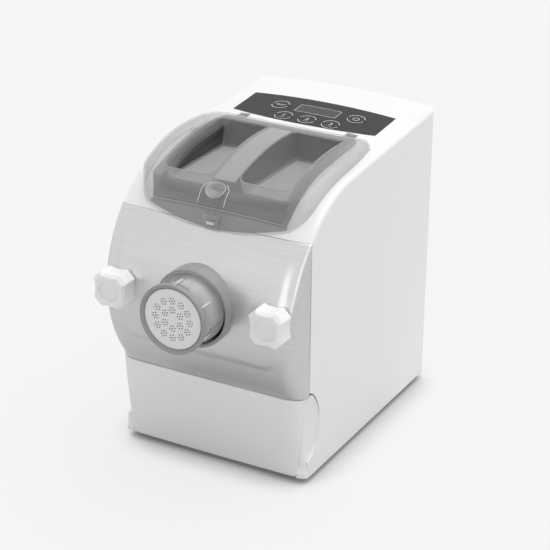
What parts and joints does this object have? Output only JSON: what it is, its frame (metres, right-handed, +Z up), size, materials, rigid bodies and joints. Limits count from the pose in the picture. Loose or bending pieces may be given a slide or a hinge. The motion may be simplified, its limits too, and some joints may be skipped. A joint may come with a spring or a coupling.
{
  "type": "electric pasta maker",
  "caption": "Upright electric pasta maker with a curved steel front, see-through hinged lid with two pouring wells, round die nut, two lock knobs, key panel and a storage drawer.",
  "frame": {"origin": "middle of the outline on the table", "axes": "+Z up, -Y to the front with the die nut, +X to the right as seen from the front"},
  "size_m": [0.225, 0.38, 0.34],
  "materials": {
    "casing_white": "satin",
    "drawer_white": "satin",
    "panel_steel": "brushed across",
    "lid_clear": "clear smoked plastic",
    "nut_clear": "clear plastic",
    "ring_grey": "satin",
    "die_white": "fine matt",
    "knob_white": "satin",
    "plate_dark": "satin",
    "key_dark": "satin",
    "display_dark": "gloss",
    "tub_plastic": "satin",
    "auger_plastic": "satin",
    "frame_plastic": "matt",
    "steel_plate": "zinc plated",
    "turned_steel": "turned",
    "bearing_bronze": "sintered",
    "gear_plastic": "matt",
    "gear_steel": "cut teeth",
    "seal_rubber": "soft",
    "foot_rubber": "soft",
    "board_green": "coated",
    "motor_steel": "satin",
    "stator_iron": "laminated",
    "inlet_black": "matt"
  },
  "bodies": {
    "casing": {"barrel_collar": "ring_grey", "base_plate": "frame_plastic", "board_posts": "frame_plastic", "chassis_bulkhead": "steel_plate", "control_board": "board_green", "control_plate": "plate_dark", "cover_screws": "turned_steel", "display_module": "display_dark", "display_window": "display_dark", "drawer_shelf": "frame_plastic", "extrusion_barrel": "die_white", "forming_die": "die_white", "front_bulkhead": "steel_plate", "front_left_foot": "foot_rubber", "front_panel": "panel_steel", "front_right_foot": "foot_rubber", "front_shaft_bearing": "bearing_bronze", "gear_plate": "frame_plastic", "housing_shell": "casing_white", "latch_catch": "steel_plate", "left_knob_stud": "turned_steel", "lid_hinge_pins": "turned_steel", "lid_switch": "inlet_black", "mains_inlet": "inlet_black", "mixing_tub": "tub_plastic", "motor_housing": "motor_steel", "motor_mounts": "seal_rubber", "motor_stator": "stator_iron", "panel_frame": "frame_plastic", "power_board": "board_green", "rear_cover": "casing_white", "rear_left_foot": "foot_rubber", "rear_right_foot": "foot_rubber", "rear_shaft_bearing": "bearing_bronze", "reduction_axle": "turned_steel", "right_knob_stud": "turned_steel", "shaft_seal": "seal_rubber"},
    "lid": {"lid_shell": "lid_clear", "lid_wells": "lid_clear", "lid_seal": "seal_rubber", "lid_magnet": "turned_steel"},
    "latch": {"lid_latch": "lid_clear"},
    "drawer": {"drawer_front": "drawer_white", "drawer_tray": "drawer_white"},
    "left_knob": {"left_lock_knob": "knob_white"},
    "right_knob": {"right_lock_knob": "knob_white"},
    "nut": {"die_nut": "nut_clear", "die_nut_ring": "ring_grey"},
    "mixer": {"mixing_auger": "auger_plastic", "drive_shaft": "turned_steel", "output_gear": "gear_plastic"},
    "reduction": {"reduction_gear": "gear_plastic"},
    "rotor": {"motor_rotor": "turned_steel", "motor_pinion": "gear_steel", "cooling_fan": "frame_plastic"},
    "program_key_1": {"program_key_1": "key_dark"},
    "program_key_2": {"program_key_2": "key_dark"},
    "program_key_3": {"program_key_3": "key_dark"},
    "manual_key": {"manual_key": "key_dark"},
    "power_key": {"power_key": "key_dark"}
  },
  "joints": [
    {"name": "lid_hinge", "type": "hinge", "parent": "casing", "child": "lid", "pos_m": [0, 0.07, 0.326], "axis": [-1, 0, 0], "range_deg": [0, 70]},
    {"name": "latch_swing", "type": "hinge", "parent": "lid", "child": "latch", "pos_m": [0, -0.1118, 0.2888], "axis": [-1, 0, 0], "range_deg": [0, 12], "stiffness_Nm_per_rad": 0.4, "springref_deg": -2.86},
    {"name": "drawer_slide", "type": "slide", "parent": "casing", "child": "drawer", "axis": [0, -1, 0], "range_m": [0, 0.15]},
    {"name": "left_knob_turn", "type": "hinge", "parent": "casing", "child": "left_knob", "pos_m": [-0.0925, -0.15, 0.203], "axis": [0, -1, 0], "range_deg": [0, 720]},
    {"name": "right_knob_turn", "type": "hinge", "parent": "casing", "child": "right_knob", "pos_m": [0.0925, -0.15, 0.203], "axis": [0, -1, 0], "range_deg": [0, 720]},
    {"name": "nut_turn", "type": "hinge", "parent": "casing", "child": "nut", "pos_m": [0, -0.165, 0.203], "axis": [0, -1, 0], "range_deg": [0, 60]},
    {"name": "mixer_spin", "type": "hinge", "parent": "casing", "child": "mixer", "pos_m": [0, 0, 0.203], "axis": [0, -1, 0], "continuous": true},
    {"name": "reduction_spin", "type": "hinge", "parent": "casing", "child": "reduction", "pos_m": [-0.042, 0.09, 0.147], "axis": [0, -1, 0], "continuous": true},
    {"name": "motor_spin", "type": "hinge", "parent": "casing", "child": "rotor", "pos_m": [-0.0096, 0.13, 0.1038], "axis": [0, -1, 0], "continuous": true},
    {"name": "program_key_1_press", "type": "slide", "parent": "casing", "child": "program_key_1", "axis": [0, 0, -1], "range_m": [0, 0.0008], "stiffness_N_per_m": 800, "springref_m": -0.0005},
    {"name": "program_key_2_press", "type": "slide", "parent": "casing", "child": "program_key_2", "axis": [0, 0, -1], "range_m": [0, 0.0008], "stiffness_N_per_m": 800, "springref_m": -0.0005},
    {"name": "program_key_3_press", "type": "slide", "parent": "casing", "child": "program_key_3", "axis": [0, 0, -1], "range_m": [0, 0.0008], "stiffness_N_per_m": 800, "springref_m": -0.0005},
    {"name": "manual_key_press", "type": "slide", "parent": "casing", "child": "manual_key", "axis": [0, 0, -1], "range_m": [0, 0.0008], "stiffness_N_per_m": 800, "springref_m": -0.0005},
    {"name": "power_key_press", "type": "slide", "parent": "casing", "child": "power_key", "axis": [0, 0, -1], "range_m": [0, 0.0008], "stiffness_N_per_m": 800, "springref_m": -0.0005}
  ],
  "couplings": [
    {"joint": "reduction_spin", "follows": "mixer_spin", "ratio": -4},
    {"joint": "motor_spin", "follows": "mixer_spin", "ratio": 20}
  ]
}
